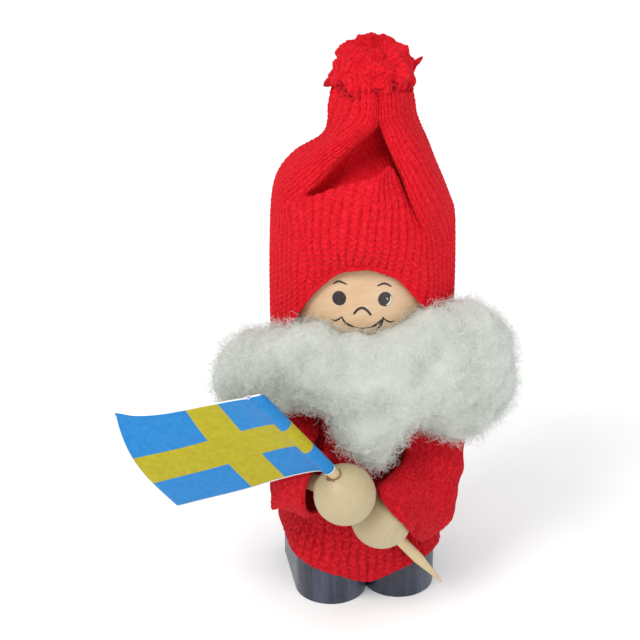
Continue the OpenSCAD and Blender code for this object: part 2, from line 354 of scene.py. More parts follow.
def ink_line(name, stops, widest, thinnest=0.45):
    """One stroke of ink, pressed hardest in its middle, with rounded ends."""
    stops = np.array(stops, float)
    steps = 8 * (len(stops) - 1)

    def place(u, v):
        at = u[0] * (len(stops) - 1)
        line = through(stops, at)
        run = np.gradient(line, axis=0)
        side = np.stack([-run[:, 1], run[:, 0]], 1)
        side /= np.linalg.norm(side, axis=1)[:, None]
        press = thinnest + (1 - thinnest) * np.sin(np.pi * u[0]) ** 0.7
        ends = np.sqrt(np.clip(1 - (2 * np.abs(u[0] - 0.5)) ** 40, 0.02, 1))
        half = widest / 2 * press * ends / head_r / math.radians(1)
        spread = line + side * (half[:, None] * (2 * v[..., None] - 1))
        crown = 0.05 * mm * (1 - (2 * v - 1) ** 2)
        return on_head(spread, 0.02 * mm + crown[..., None])

    return laid_grid(name, steps, 4, place)[0]


def ink_spot(name, middle, radius, lift, squeeze=(1, 1)):
    """A round spot, from a grid whose rows run from its middle to its rim."""
    def place(u, v):
        turn = 2 * np.pi * u
        reach = np.stack([np.cos(turn) * squeeze[0], np.sin(turn) * squeeze[1]], -1)
        return on_head(np.array(middle) + reach * (radius * v)[..., None],
                       (lift + 0.04 * mm * (1 - v ** 6))[..., None])

    spot = laid_grid(name, 40, 5, place)[0]
    merge(spot)
    return spot


def merge(piece, gap=0.001 * mm):
    bpy.ops.object.mode_set(mode="EDIT")
    bpy.ops.mesh.select_all(action="SELECT")
    bpy.ops.mesh.remove_doubles(threshold=gap)
    bpy.ops.object.mode_set(mode="OBJECT")
    bpy.ops.object.shade_smooth()


def join(name, parts):
    pick(*parts)
    bpy.ops.object.join()
    parts[0].name = name
    return parts[0]


ink_parts = [
    ink_spot("eye_right", (-15.8, 13.8), 5.0, 0.03 * mm),
    ink_spot("eye_left", (16.3, 13.4), 5.0, 0.03 * mm),
    ink_line("brow_right", [(-21.5, 22.7), (-17.2, 25.1), (-10.8, 23.6)], 0.4 * mm),
    ink_line("brow_left", [(11.1, 22.7), (16.7, 24.0), (21.9, 21.2)], 0.4 * mm),
    ink_line("nose", [(-5.4, 3.4), (-2.6, 7.0), (0.6, 8.1), (3.6, 6.4), (6.5, 2.7)],
             0.52 * mm, 0.8),
    ink_line("curl_right", [(-21, -2.2), (-18, -2.8), (-15.2, -1.1), (-13.5, 1.0)], 0.34 * mm),
    ink_line("smile_right", [(-13.5, 1.0), (-11.1, -3.5), (-7.5, -5.4), (-4.5, -6.5)],
             0.5 * mm, 0.3),
    ink_line("smile", [(-5.5, -6.2), (-2, -7.0), (0.6, -7.2), (4, -6.9), (6.5, -6.3)], 0.24 * mm),
    ink_line("smile_left", [(5.5, -6.5), (8.5, -5.6), (10.9, -3.9), (14.9, -0.2)], 0.5 * mm, 0.4),
    ink_line("curl_left", [(14.9, -0.2), (17.6, -2.7), (20.4, -3.9), (22.6, -3.4)], 0.34 * mm),
    ink_line("cheek_line", [(14.9, 1.0), (13.4, -4.6), (11, -8.6), (8.4, -11.6)], 0.6 * mm, 0.3),
]
face_ink = join("face_ink", ink_parts)
for face in face_ink.data.polygons:
    if face.normal.dot(face.center - Vector(head_middle)) < 0:
        face.flip()
ink = new_finish("face_ink", colour(30, 24, 24), 0.45)
mottle(ink, 2500, (0.35, colour(24, 19, 20)), (0.8, colour(58, 46, 42)))
face_ink.data.materials.append(ink)
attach(face_ink, "doll")

# Painted highlight: white marks on the figure's left eye stand for the glint of light on its ink.
glint_parts = [
    ink_line("glint_left", [(20.3, 15.1), (20.4, 12.4), (18.6, 9.9), (16.9, 9.5)], 0.34 * mm, 0.3),
    ink_line("glint_fleck", [(17.3, 14.6), (18.4, 12.6)], 0.16 * mm, 0.3),
]
eye_glints = join("eye_glints", glint_parts)
for vertex in eye_glints.data.vertices:
    vertex.co += (vertex.co - Vector(head_middle)).normalized() * 0.07 * mm
painted_highlight_finish = new_finish("eye_painted_highlight", colour(225, 215, 205), 0.5)
mottle(painted_highlight_finish, 3000, (0.3, colour(205, 195, 185)), (0.7, colour(235, 228, 220)))
eye_glints.data.materials.append(painted_highlight_finish)
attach(eye_glints, "doll")

# --- Hands
# Two birch balls, bored to hold the flag's stick. The bore's edge is torn out a little where the
# drill broke through, and the end grain runs round each ball in fine rings.
stick_joint = next(j for j in frame["record"]["behaviour"]["joints"] if j["name"] == "flag_pull")
up_stick = np.array(stick_joint["axis"], float)
up_stick /= np.linalg.norm(up_stick)
stick_low, stick_high = [np.array(corner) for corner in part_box("flag_stick")]
stick_point = np.array([stick_high[0], stick_high[1], stick_low[2]])
stick_point += np.array([-1, -1, 0]) * 0.3 * mm
stick_turn = tuple(Vector((0, 0, 1)).rotation_difference(Vector(up_stick)).inverted().to_euler())
hand_middles = {}
for side in ("right", "left"):
    low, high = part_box("hand_ball_" + side)
    hand_middles[side] = (np.array(low) + np.array(high)) / 2
    middle = hand_middles[side]
    finish = wood_finish("hand_birch_" + side, colour(184, 168, 132), colour(168, 148, 108),
                         (1500, 1500, 260), (0.9, 0.5 if side == "right" else -0.8, 0.2), 0.45, 0.8,
                         tuple(-middle))
    tone = shader_of(finish).inputs["Base Color"].links[0].from_socket
    place = put(finish, "TexCoord").outputs["Object"]
    centred = put(finish, "Mapping", {"Vector": place, "Location": tuple(-stick_point)}).outputs[0]
    turned = put(finish, "Mapping", {"Vector": centred, "Rotation": stick_turn}).outputs[0]
    flat = put(finish, "Mapping", {"Vector": turned, "Scale": (1, 1, 0)}).outputs[0]
    off_axis = put(finish, "VectorMath", {0: flat}, operation="LENGTH").outputs["Value"]
    ragged = cloudy(finish, place, 1400, 3)
    reach = math_of(finish, "ADD", off_axis, math_of(finish, "MULTIPLY", ragged, -0.0014))
    reach = math_of(finish, "MULTIPLY", reach, 1000)
    torn = shades(finish, reach, (0.72, grey(1)), (0.84, grey(0)))
    give(finish, mixed(finish, torn, tone, colour(128, 94, 58)), "Base Color")
    dress("hand_ball_" + side, finish)

# --- Flag stick
# A birch toothpick, pointed at its lower end, with the long grain of split wood. It is pushed
# down through both hands and pulls out again.
toothpick = wood_finish("toothpick_birch", colour(216, 196, 150), colour(176, 146, 98),
                        (3800, 3800, 130), stick_turn, 0.5)
dress("flag_stick", toothpick)

# --- Paper flag
# One strip of printed paper folded round the stick and glued to itself, printed side out on both
# faces: a blue ground with a yellow cross, a thin white edge, and the curl it was rolled with.
wrap_r = 1.3 * mm
wrap_run = 3.5 * mm  # half of the paper that goes round the stick
leave_turn = 0.25  # where on the stick the paper leaves it, in radians
flag_long, flag_tall = 33 * mm, 24.5 * mm
grip = np.array([-2, -24.3, 34.3]) * mm
flag_foot = grip + up_stick * 7.7 * mm
fly = np.array([-0.8475, 0.394, -0.3555])
fly -= up_stick * (fly @ up_stick)
fly /= np.linalg.norm(fly)
flag_out = np.cross(fly, up_stick)


# How far the paper stands off flat along its two long edges, from the stick to its free edge.
curl_below = np.array([0, -0.4, -1.3, -2.5, -3.4, -4.2, -5.0])
curl_above = np.array([0, 0.5, 0.4, 0, -0.2, 0.2, 1.5])


def flag_curl(along, tall):
    """How far the paper has rolled off its flat plane."""
    s, h = np.clip(along / flag_long, 0, 1), np.clip(tall / flag_tall, 0, 1)
    below, above = through(curl_below, s * 6), through(curl_above, s * 6)
    return mm * (below + (above - below) * h ** (1.5 + 2.5 * s))


def flag_wrap(u, v):
    """Once across the far face, round the stick, and back across the near one."""
    half = 2 * u - 1
    side = np.sign(half + 1e-9)
    run = np.abs(half) * (flag_long + wrap_run)
    on_tube = run < wrap_run
    turn = np.pi - run / wrap_run * (np.pi - leave_turn)
    along = np.where(on_tube, wrap_r * np.cos(turn),
                     run - wrap_run + wrap_r * math.cos(leave_turn))
    off = np.where(on_tube, wrap_r * np.sin(turn), 0)
    lead = np.clip((run - wrap_run) / (3 * mm), 0, 1)
    settle = wrap_r * math.sin(leave_turn) * (1 - lead) ** 3 + 0.11 * mm
    off = np.where(on_tube, off, settle) * side
    tall = v * (flag_tall + mm * (0.5 + 1.9 * np.exp(-(run / (7 * mm)) ** 2)))
    pinch = np.clip((tall - flag_tall - 0.4 * mm) / (1.2 * mm), 0, 1)
    off = np.where(on_tube, off * (1 - 0.9 * pinch * pinch * (3 - 2 * pinch)), off)
    bow = np.where(on_tube, 0, flag_curl(np.maximum(run - wrap_run, 0), tall))
    return (flag_foot + along[..., None] * fly + (off + bow)[..., None] * flag_out
            + tall[..., None] * up_stick)


flag_sheet = laid_grid("flag_sheet", 160, 28, flag_wrap)[0]
flag_sheet.data.uv_layers.active.name = "print"
thick = flag_sheet.modifiers.new("paper", "SOLIDIFY")
thick.thickness = 0.1 * mm
thick.offset = -1
apply_all(flag_sheet)
bpy.ops.object.shade_smooth()

printed = new_finish("printed_paper", colour(20, 120, 196), 0.5)
tune(printed, {"Specular IOR Level": 0.25})
sheet_place = put(printed, "SeparateXYZ", {0: put(printed, "UVMap", uv_map="print").outputs[0]})
from_fold = math_of(printed, "ABSOLUTE", math_of(printed, "SUBTRACT", sheet_place.outputs[0], 0.5))
from_fold = math_of(printed, "MULTIPLY", from_fold, 2.0)
wobble = cloudy(printed, stretched(printed), 900)
tube = math_of(printed, "LESS_THAN", from_fold, 0.096)
slip = math_of(printed, "MULTIPLY", tube, -0.05)
height = math_of(printed, "SUBTRACT", sheet_place.outputs[1], slip)


def band(finish, value, low, high):
    above = math_of(finish, "GREATER_THAN", value, low)
    return math_of(finish, "MULTIPLY", above, math_of(finish, "LESS_THAN", value, high))


cross = math_of(printed, "MAXIMUM", band(printed, height, 0.355, 0.655),
                band(printed, from_fold, 0.325, 0.525))
blue = shades(printed, wobble, (0.3, colour(15, 115, 182)), (0.7, colour(25, 128, 196)))
yellow = shades(printed, wobble, (0.3, colour(163, 151, 6)), (0.7, colour(178, 165, 10)))
inside = math_of(printed, "MULTIPLY", band(printed, sheet_place.outputs[1], 0.012, 0.994),
                 math_of(printed, "LESS_THAN", from_fold, 0.992))
tone = mixed(printed, cross, blue, yellow)
give(printed, mixed(printed, inside, colour(236, 238, 240), tone), "Base Color")
give(printed, bump(printed, wobble, 0.02 * mm, 0.12), "Normal")
flag_sheet.data.materials.append(printed)
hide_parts("flag_paper")
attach(flag_sheet, "flag")

# --- Hat
# A ribbed tube knitted from red wool, pulled down over the head ball. Its brim rolls over the
# brow, and its end is drawn together, so the front tucks in behind two thick folds.
hat_wales, course = 68, 1.2 * mm


def stitches(wale, row, legs=0.42):
    """Height of the fabric from 0 in a furrow to 1: columns of V stitches, two legs to each."""
    x = np.abs(wale % 1 - 0.5)
    column = np.cos(np.pi * np.clip(x, 0, 0.5)) ** 0.6
    leg = 0.5 + 0.5 * np.cos(2 * np.pi * (row - 1.3 * x))
    return np.clip(column * (1 - legs + legs * leg) - 0.16 * np.exp(-(x / 0.09) ** 2), 0, 1)


def uneven(points, size, seed):
    """A smooth unevenness from -1 to 1 of about the given size, the same at each run."""
    rng = np.random.default_rng(seed)
    total = np.zeros(points.shape[:-1])
    for _ in range(9):
        way = rng.normal(size=3)
        way *= rng.uniform(0.6, 1.5) * 2 * np.pi / size / np.linalg.norm(way)
        total += np.sin(points @ way + rng.uniform(0, 2 * np.pi))
    return total / 4.2


def knit(name, across, along, surface, depth, wales, furrow_shade_contrast=1.0, wander=0.25):
    """Knitted cloth on a surface. surface(u, v) gives points, the row count, and where it is
    plain; the stitches stand out of it by depth, and their height is kept as an attribute."""
    kept = {}

    def place(u, v):
        points, rows, plain = surface(u, v)
        run_u = np.gradient(points, axis=1)
        run_u[:, 0] = run_u[:, -1] = (points[:, 1] - points[:, -2]) / 2
        run_v = np.gradient(points, axis=0)
        out = np.cross(run_u, run_v)
        out /= np.maximum(np.linalg.norm(out, axis=-1), 1e-12)[..., None]
        height = stitches(u * wales + wander * uneven(points, 6 * mm, 3), rows)
        # The kept height colours the cloth in the red finishes, dark in the furrows and light on
        # the stitch tops: painted shade. The contrast argument sets only how strong that shade is.
        kept["height"] = (0.6 + (height - 0.6) * furrow_shade_contrast) * (1 - plain) + 0.5 * plain
        kept["thread"] = np.stack([u * wales, rows], -1)
        return points + out * (depth * (height - 0.5) * (1 - plain))[..., None]

    piece, order = laid_grid(name, across, along, place)
    height = np.empty(len(order), np.float32)
    height[order] = kept["height"].ravel()
    made = piece.data.attributes.new("stitch_height", "FLOAT", "POINT")
    made.data.foreach_set("value", height)
    thread = np.empty((len(order), 2), np.float32)
    thread[order] = kept["thread"].reshape(-1, 2)
    corner_vertex = np.empty(len(piece.data.loops), np.int32)
    piece.data.loops.foreach_get("vertex_index", corner_vertex)
    piece.data.uv_layers.active.name = "stitches"
    piece.data.uv_layers.active.uv.foreach_set("vector", thread[corner_vertex].ravel())
    merge(piece, 0.01 * mm)
    return piece


# Where the cloth runs from the wide part of the hat up to the tie, one column for each fold,
# given by its turn from the front towards the figure's left.
crown_folds = {
    -180: [(0, 17.4, 81), (0.2, 16.8, 86), (0.6, 15.2, 90), (1, 12.8, 93.5), (1.3, 10.7, 96),
           (1.5, 8.8, 98.4), (1.7, 7.2, 101.4), (1.8, 6.5, 104.5)],
    -140: [(-11.3, 13.3, 80), (-10.9, 12.9, 84.5), (-10, 12.1, 88), (-8.8, 10.8, 90.8),
           (-7.3, 9, 93.4), (-5.8, 7.2, 96.3), (-4.4, 5.7, 100), (-3.5, 5, 104.5)],
    -120: [(-15.4, 8.9, 81), (-15, 8.7, 85.6), (-13.8, 8, 88.7), (-12, 6.9, 91.2),
           (-9.6, 5.4, 93.6), (-7.4, 3.8, 96.4), (-5.8, 2.5, 100.2), (-5.2, 1.8, 104.5)],
    -100: [(-17.3, 3, 82), (-16.8, 3, 86.6), (-15.5, 2.3, 90), (-12.9, 1.5, 93.3),
           (-10.6, 0.3, 95.3), (-7.4, -0.8, 97.8), (-6.5, -1.5, 100.8), (-6.2, -2, 104.5)],
    -75: [(-17, -4.5, 82), (-16.7, -4.6, 86), (-15.6, -5.9, 89.6), (-13.2, -7.4, 92.6),
          (-9.4, -9, 96.6), (-5.9, -10, 99.8), (-2.5, -9.8, 102.5), (0, -9, 104.6)],
    -50: [(-13.5, -11.3, 82), (-13.9, -11, 85.5), (-14, -10.4, 88.2), (-11.3, -11.6, 91.4),
          (-6.7, -12, 96.1), (-3.4, -11.8, 99.2), (-0.1, -11, 101.8), (2.6, -9.8, 103.9)],
    -36: [(-10.1, -14.3, 83), (-10.3, -14.2, 86.8), (-10.2, -13.8, 89.8), (-9.9, -12.6, 90.4),
          (-8.8, -10.2, 88.4), (-6.2, -8.6, 92.4), (-2.8, -8, 97), (1.8, -8.6, 103)],
    -20: [(-5.8, -16.3, 84), (-5.6, -16.3, 88.6), (-5.1, -16, 92.2), (-4.8, -14.7, 93.2),
          (-4, -12, 90.8), (-2.2, -7.4, 94), (0.2, -6.6, 98.8), (2.2, -7.8, 103.4)],
    0: [(0.5, -17.3, 84), (1.2, -17.3, 89.6), (2.2, -16.8, 94.6), (2.4, -15.4, 95.8),
        (2.4, -12, 93), (2.4, -6.4, 95), (2.6, -5.4, 99.6), (2.8, -7.4, 103.6)],
    20: [(6.4, -16.2, 83), (6.4, -15.8, 89.5), (5.2, -14.9, 95.6), (4.9, -13.6, 97),
         (5.4, -10.2, 94), (4.6, -4.8, 95.5), (3.4, -4.8, 100), (3, -7.6, 103.8)],
    36: [(10.8, -13.9, 80.5), (10.4, -13.5, 85), (8.6, -13, 89.4), (7.3, -11.8, 92.4),
         (7.6, -8.2, 90.5), (6.2, -4.4, 94), (4.2, -5, 99.6), (3.3, -8, 103.8)],
    50: [(13.8, -10.8, 79), (13, -12.3, 82.6), (11.6, -14, 86.2), (9.3, -14.6, 91.4),
         (7.1, -13.4, 95.9), (4.9, -12, 100), (3.6, -10.8, 102.8), (3.1, -10, 104.2)],
    75: [(17.1, -4.4, 80), (16.2, -5.6, 84.6), (15, -7.4, 88.4), (13.4, -9, 92.2),
         (11.6, -9.8, 96), (9.6, -9.8, 99.6), (7.6, -9, 102.4), (6.2, -8, 104.6)],
    100: [(17.3, 3, 82), (15.4, 2.9, 87), (13.8, 2.5, 91), (12.7, 2.1, 94), (11.8, 1.7, 96.5),
          (10.8, 1.3, 98.8), (9.8, 0.9, 101.6), (9.3, 0.5, 104.5)],
    120: [(15.2, 8.8, 81), (14.4, 8.3, 85.3), (13.2, 7.5, 88.3), (12.2, 6.6, 90.8),
          (11.2, 5.5, 93.5), (10, 4.4, 96.6), (8.7, 3.4, 100.5), (8.1, 2.8, 104.5)],
    140: [(11.3, 13.3, 80), (10.9, 12.8, 84.5), (10.3, 12, 88), (9.5, 10.8, 91), (8.6, 9.2, 94),
          (7.5, 7.5, 97), (6.5, 5.9, 100.7), (6, 5, 104.5)],
}
fold_turns = list(crown_folds)
fold_points = np.array([crown_folds[t] for t in fold_turns], float) * mm
under_bun = fold_points[:, -1:] * [0.8, 0.8, 1] + np.array([0.4, 0.2, 4.6]) * mm
closed_end = np.broadcast_to(np.array([1.8, -1, 110]) * mm, under_bun.shape)
fold_points = np.concatenate([fold_points, under_bun, closed_end], axis=1)

def facing(turn):
    """The level way out at a turn, in radians, from the front towards the figure's left."""
    return np.stack([np.sin(turn), -np.cos(turn), 0 * turn], -1)


def at_height(z):
    return np.stack([0 * z, 0 * z, z], -1)


brim_turns = [-180, -130, -90, -70, -55, -45, -33, -20, 0, 21, 35, 47, 58, 73, 92, 130, 180]
brim_heights = [56, 56, 57, 58, 61, 66, 72.5, 76.5, 78.2, 76.5, 72.5, 66, 61, 58, 57, 56, 56]
in_r = 16.4 * mm
shares = {"lining": 0.07, "roll": 0.11, "wall": 0.54}


def hat_surface(u, v):
    turn = 360 * u[0] - 180
    brim_z = mm * np.interp(turn, brim_turns, brim_heights)
    brim_z = np.convolve(np.concatenate([brim_z[-13:-1], brim_z, brim_z[1:13]]),
                         np.ones(25) / 25, "valid")
    front = np.exp(-(turn / 34) ** 4)
    outward = facing(np.radians(turn))
    brim_out = (17.75 - 2.2 * front) * mm
    brim_in = brim_out - 1.5 * mm
    slope = np.arcsin(np.clip((brim_z - head_middle[2]) / in_r, -1, 1))
    column = np.interp(turn, fold_turns + [180], np.arange(len(fold_turns) + 1))
    cage = through(fold_points, column, closed=True)
    lift = np.linalg.norm(np.diff(cage, axis=1), axis=2).mean(0)
    knots = np.concatenate([[0], np.cumsum(lift)])
    points = np.empty(u.shape + (3,))
    rows = np.empty(u.shape)
    plain = np.zeros(u.shape)
    for i, share in enumerate(v[:, 0]):
        if share < shares["lining"]:
            t = share / shares["lining"]
            up = math.pi / 2 + (slope - math.pi / 2) * t
            extra = np.maximum(brim_in - in_r * np.cos(slope), 0) * t ** 3
            reach = np.where(up > 0, in_r * np.cos(up), in_r) + extra * (slope > 0) * (up > 0)
            z = head_middle[2] + in_r * np.sin(up)
            points[i] = outward * reach[:, None] + at_height(z)
            rows[i], plain[i] = 0, 1
        elif share < shares["roll"]:
            t = (share - shares["lining"]) / (shares["roll"] - shares["lining"])
            swing = math.pi * (1 - t)
            start = np.where(slope > 0, np.maximum(in_r * np.cos(slope), brim_in), in_r)
            centre = (start + brim_out) / 2
            half = (brim_out - start) / 2
            reach = centre + half * math.cos(swing) + 0.45 * mm * math.sin(swing)
            wave = 0.12 * mm * np.sin(turn * 0.31)
            z = brim_z - 1.1 * mm * math.sin(swing) + wave * math.sin(swing)
            points[i] = outward * reach[:, None] + at_height(z)
            rows[i], plain[i] = (brim_z - cage[:, 0, 2]) / course - (1 - t) * 1.2, 0.7
        elif share < shares["wall"]:
            t = (share - shares["roll"]) / (shares["wall"] - shares["roll"])
            foot = outward * brim_out[:, None] + at_height(brim_z)
            top = cage[:, 0]
            wide = np.linalg.norm(top[:, :2], axis=1)
            span = foot + (top - foot) * t
            now = brim_out + (wide - brim_out) * (1 - (1 - t) ** 2.2)
            swell = 0.25 * mm * math.sin(math.pi * t)
            flat = span[:, :2] / np.linalg.norm(span[:, :2], axis=1)[:, None]
            points[i, :, :2] = flat * (now + swell)[:, None]
            points[i, :, 2] = span[:, 2]
            rows[i] = (span[:, 2] - top[:, 2]) / course
            plain[i] = 0.7 * max(0, 1 - t / 0.05)
        else:
            t = (share - shares["wall"]) / (1 - shares["wall"])
            along = t * knots[-1]
            at = np.full(len(turn), np.interp(along, knots, np.arange(len(knots))))
            points[i] = [through(line, at[:1])[0] for line in cage]
            rows[i] = along / course
            # The hollow behind the two folds is drawn plain. In the red finish this also gives it
            # an even, darker mid red: painted shade in the fold.
            hollow = np.clip((42 - np.abs(turn)) / 6, 0, 1) * np.clip((at - 2.6) / 0.8, 0, 1)
            plain[i] = np.maximum(np.clip((t - 0.93) / 0.05, 0, 1), 0.9 * hollow)
    return points, rows, plain


hat = knit("hat_knitted", hat_wales * 6, 184, hat_surface, 0.5 * mm, hat_wales)

red_knit = new_finish("red_knit", colour(222, 18, 34), 0.85)
lay = put(red_knit, "Attribute", attribute_name="stitch_height").outputs["Fac"]
soft = cloudy(red_knit, stretched(red_knit), 120, 3)
fluff = cloudy(red_knit, stretched(red_knit), 1500, 5, 0.8, 0.75)
# The stitch height runs the red from dark in the furrows to light on the stitch tops: painted shade
# between the stitches, laid over the yarn's own red.
yarn_with_furrow_shade = shades(red_knit, lay, (0.0, colour(148, 0, 18)), (0.3, colour(184, 4, 22)),
              (0.6, colour(206, 9, 27)), (0.95, colour(226, 26, 42)))
yarn_with_furrow_shade = mixed(red_knit, math_of(red_knit, "MULTIPLY", soft, 0.35), yarn_with_furrow_shade, colour(196, 8, 24))
yarn_with_furrow_shade = mixed(red_knit, shades(red_knit, fluff, (0.42, grey(0)), (0.72, grey(0.6))),
             yarn_with_furrow_shade, colour(244, 48, 62))
give(red_knit, yarn_with_furrow_shade, "Base Color")
thread_lay = put(red_knit, "SeparateXYZ", {0: put(red_knit, "UVMap", uv_map="stitches").outputs[0]})
off_middle = math_of(red_knit, "ABSOLUTE", math_of(red_knit, "SUBTRACT", math_of(
    red_knit, "FRACT", thread_lay.outputs[0]), 0.5))
slant = math_of(red_knit, "MULTIPLY", off_middle, 1.3)
leg = math_of(red_knit, "SUBTRACT", thread_lay.outputs[1], slant)
leg = math_of(red_knit, "COSINE", math_of(red_knit, "MULTIPLY", leg, 2 * math.pi))
twist = bump(red_knit, leg, 0.09 * mm, 0.6)
give(red_knit, bump(red_knit, fluff, 0.16 * mm, 0.7, twist), "Normal")
tune(red_knit, {"Sheen Weight": 0.07, "Sheen Roughness": 0.5,
                "Sheen Tint": colour(255, 120, 120), "Specular IOR Level": 0.1})
hat.data.materials.append(red_knit)
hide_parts("hat")
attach(hat, "hat")

# The gathered end above the tie: the tube's raw edge turned over into a lumpy bun, with the
# loops of its last row hanging round the rim and two cut ends of the gathering yarn.
bun_middle = np.array([1.6, -0.5, 109.9]) * mm
bun_half = np.array([7.5, 7.5, 6.6]) * mm
bun_pleats = 13
bun_edge = 1.75  # how far down from its top the bun turns in, in radians


def bun_surface(u, v):
    turn = -2 * np.pi * u
    down = 0.02 + v * 2.55
    under = np.clip((down - bun_edge) / 0.82, 0, 1)
    reach = np.sin(np.minimum(down, bun_edge)) * (1 - 0.42 * under ** 1.3)
    drop = np.where(down < bun_edge, np.sign(np.cos(down)) * np.abs(np.cos(down)) ** 0.8,
                    math.cos(bun_edge) - 0.3 * np.sin(under * np.pi) - 0.1)
    shape = np.stack([reach * np.sin(turn), -reach * np.cos(turn), drop], -1)
    points = bun_middle + shape * bun_half
    pleat = np.cos(bun_pleats * turn + 1.4 * np.sin(2 * turn + 1) + 2 * v)
    lumps = uneven(points, 4.4 * mm, 11) * 0.5 + uneven(points, 2.2 * mm, 12) * 0.4
    rim = np.exp(-((down - 1.6) / 0.5) ** 2)
    swell = mm * (lumps + pleat * 0.22 * rim)
    points += shape / np.linalg.norm(shape, axis=-1)[..., None] * swell[..., None]
    plain = np.clip(1 - v / 0.04, 0, 1)
    return points, v * 16 + 1.2 * lumps + 2 * np.sin(3 * turn), plain


bun = knit("hat_bun", 30 * 6, 72, bun_surface, 0.45 * mm, 30, 0.8, 2.2)
rng = np.random.default_rng(5)
loops = [bun]
loop_count = 24
for i in range(loop_count):
    turn = 2 * math.pi * (i + rng.uniform(-0.3, 0.3)) / loop_count
    pick()
    bpy.ops.mesh.primitive_torus_add(major_segments=14, minor_segments=6,
                                     major_radius=rng.uniform(0.55, 0.85) * mm,
                                     minor_radius=0.3 * mm)
    loop = bpy.context.object
    out = np.array([math.sin(turn), -math.cos(turn), 0])
    height = np.array([0, 0, -1.2 + rng.uniform(-0.9, 0.9)]) * mm
    loop.location = bun_middle + out * [7.35 * mm, 7.15 * mm, 0] + height
    loop.rotation_euler = (math.pi / 2 + rng.uniform(-0.4, 0.4), rng.uniform(-0.5, 0.5),
                           turn + rng.uniform(-0.7, 0.7))
    bpy.ops.object.transform_apply(location=True, rotation=True, scale=True)
    loops.append(loop)
yarn_ends = {
    "hat_yarn_right": [(-3.6, -2, 110.2), (-5.2, -1.6, 109.3), (-6.4, -1.2, 108.5),
                       (-7.4, -1, 108.3)],
    "hat_yarn_left": [(5.8, -2, 110), (8.0, -1.6, 111.1), (9.5, -1.2, 112.2), (10.7, -1, 113)],
}
for name, stops in yarn_ends.items():
    stops = np.array(stops) * mm

    def yarn_end(u, v, stops=stops, way=np.sign(stops[-1][0] - stops[0][0])):
        line = through(stops, v[:, 0] * (len(stops) - 1))
        blunt = np.sqrt(np.clip(1 - (2 * np.abs(v[:, 0] - 0.5)) ** 8, 0, 1))
        thick = 1.5 * mm * blunt * (1.3 - 0.85 * v[:, 0])
        turn = way * 2 * np.pi * u[0]
        ring = np.stack([0 * turn, np.cos(turn), np.sin(turn)], -1)
        ring = ring + 0.5 * np.stack([np.sin(turn), 0 * turn, 0 * turn], -1)
        return line[:, None] + ring[None] * thick[:, None, None]

    end = laid_grid(name, 8, 10, yarn_end)[0]
    merge(end)
    loops.append(end)
bun = join("hat_bun", loops)
bun.data.materials.clear()
bun.data.materials.append(red_knit)
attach(bun, "hat")

# --- Tie thread
# Red sewing thread wound round the gathered cloth just under the bun and knotted.
thread_parts = []
for level, z in enumerate((107.9, 108.5, 109.1)):
    def wound(u, v, z=z, level=level):
        turn = 2 * np.pi * u
        round_neck = np.stack([1.7 + 6.4 * np.sin(turn), -0.9 - 6.0 * np.cos(turn),
                               z + 0.25 * np.sin(turn + level)], -1) * mm
        out = facing(turn)
        swing = 2 * np.pi * v
        twist = 0.33 * mm * (1 + 0.12 * np.sin(3 * swing - 60 * turn))
        return (round_neck + out * (twist * np.cos(swing))[..., None]
                + np.stack([0 * turn, 0 * turn, twist * np.sin(swing)], -1))

    part = laid_grid("thread_turn_%d" % level, 180, 12, wound)[0]
    merge(part)
    thread_parts.append(part)
tie_thread = join("tie_thread", thread_parts)
red_thread = new_finish("red_thread", colour(176, 10, 26), 0.6)
mottle(red_thread, 2600, (0.3, colour(150, 6, 20)), (0.7, colour(196, 18, 34)))
tie_thread.data.materials.append(red_thread)
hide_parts("hat_tie_thread")
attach(tie_thread, "hat")

# --- Sweater
# A ribbed tube of the same wool, pulled over the body. It is gathered under the head, and its
# hem is stretched over the block, low between the toes and high at the sides.
body_wales = 50
sweater_course = 1.35 * mm
sweater_shares = {"lining": 0.1, "roll": 0.15}
toe_turn = math.radians(11.5)
block_corners = [(-7, -5.3, 7.3), (7, -5.3, 7.3), (-10.3, 8, 4), (10.3, 8, 4)]


def block_reach(turn, grow):
    """How far the outline round the block lies from the axis, over the notch between its toes."""
    ways = np.radians(np.arange(0, 360, 3.0))
    away = np.stack([np.cos(ways), np.sin(ways)], -1)
    support = np.full(len(ways), -1.0)
    for x, y, r in block_corners:
        centre = np.array([x * math.cos(toe_turn) - y * math.sin(toe_turn),
                           x * math.sin(toe_turn) + y * math.cos(toe_turn)])
        support = np.maximum(support, away @ centre + r + grow)
    look = np.stack([np.sin(turn), -np.cos(turn)], -1)
    facing = look @ away.T
    return np.where(facing > 0.2, support / np.maximum(facing, 0.2), 1e3).min(-1) * mm


tube_heights = [0, 16, 25, 36, 43, 46, 49, 51, 52.2]
tube_reaches = [14.0, 13.9, 13.2, 12.2, 11.2, 10.4, 8.9, 7.2, 6.2]
sweater_top = tube_heights[-1] * mm
hem_turns = [-180, -110, -82, -55, -38, -18, 5, 20, 38, 56, 90, 120, 180]
hem_heights = [8.2, 9.6, 10.5, 10.9, 10.4, 8.6, 5.7, 6.5, 8.9, 10.5, 10.6, 9.6, 8.2]


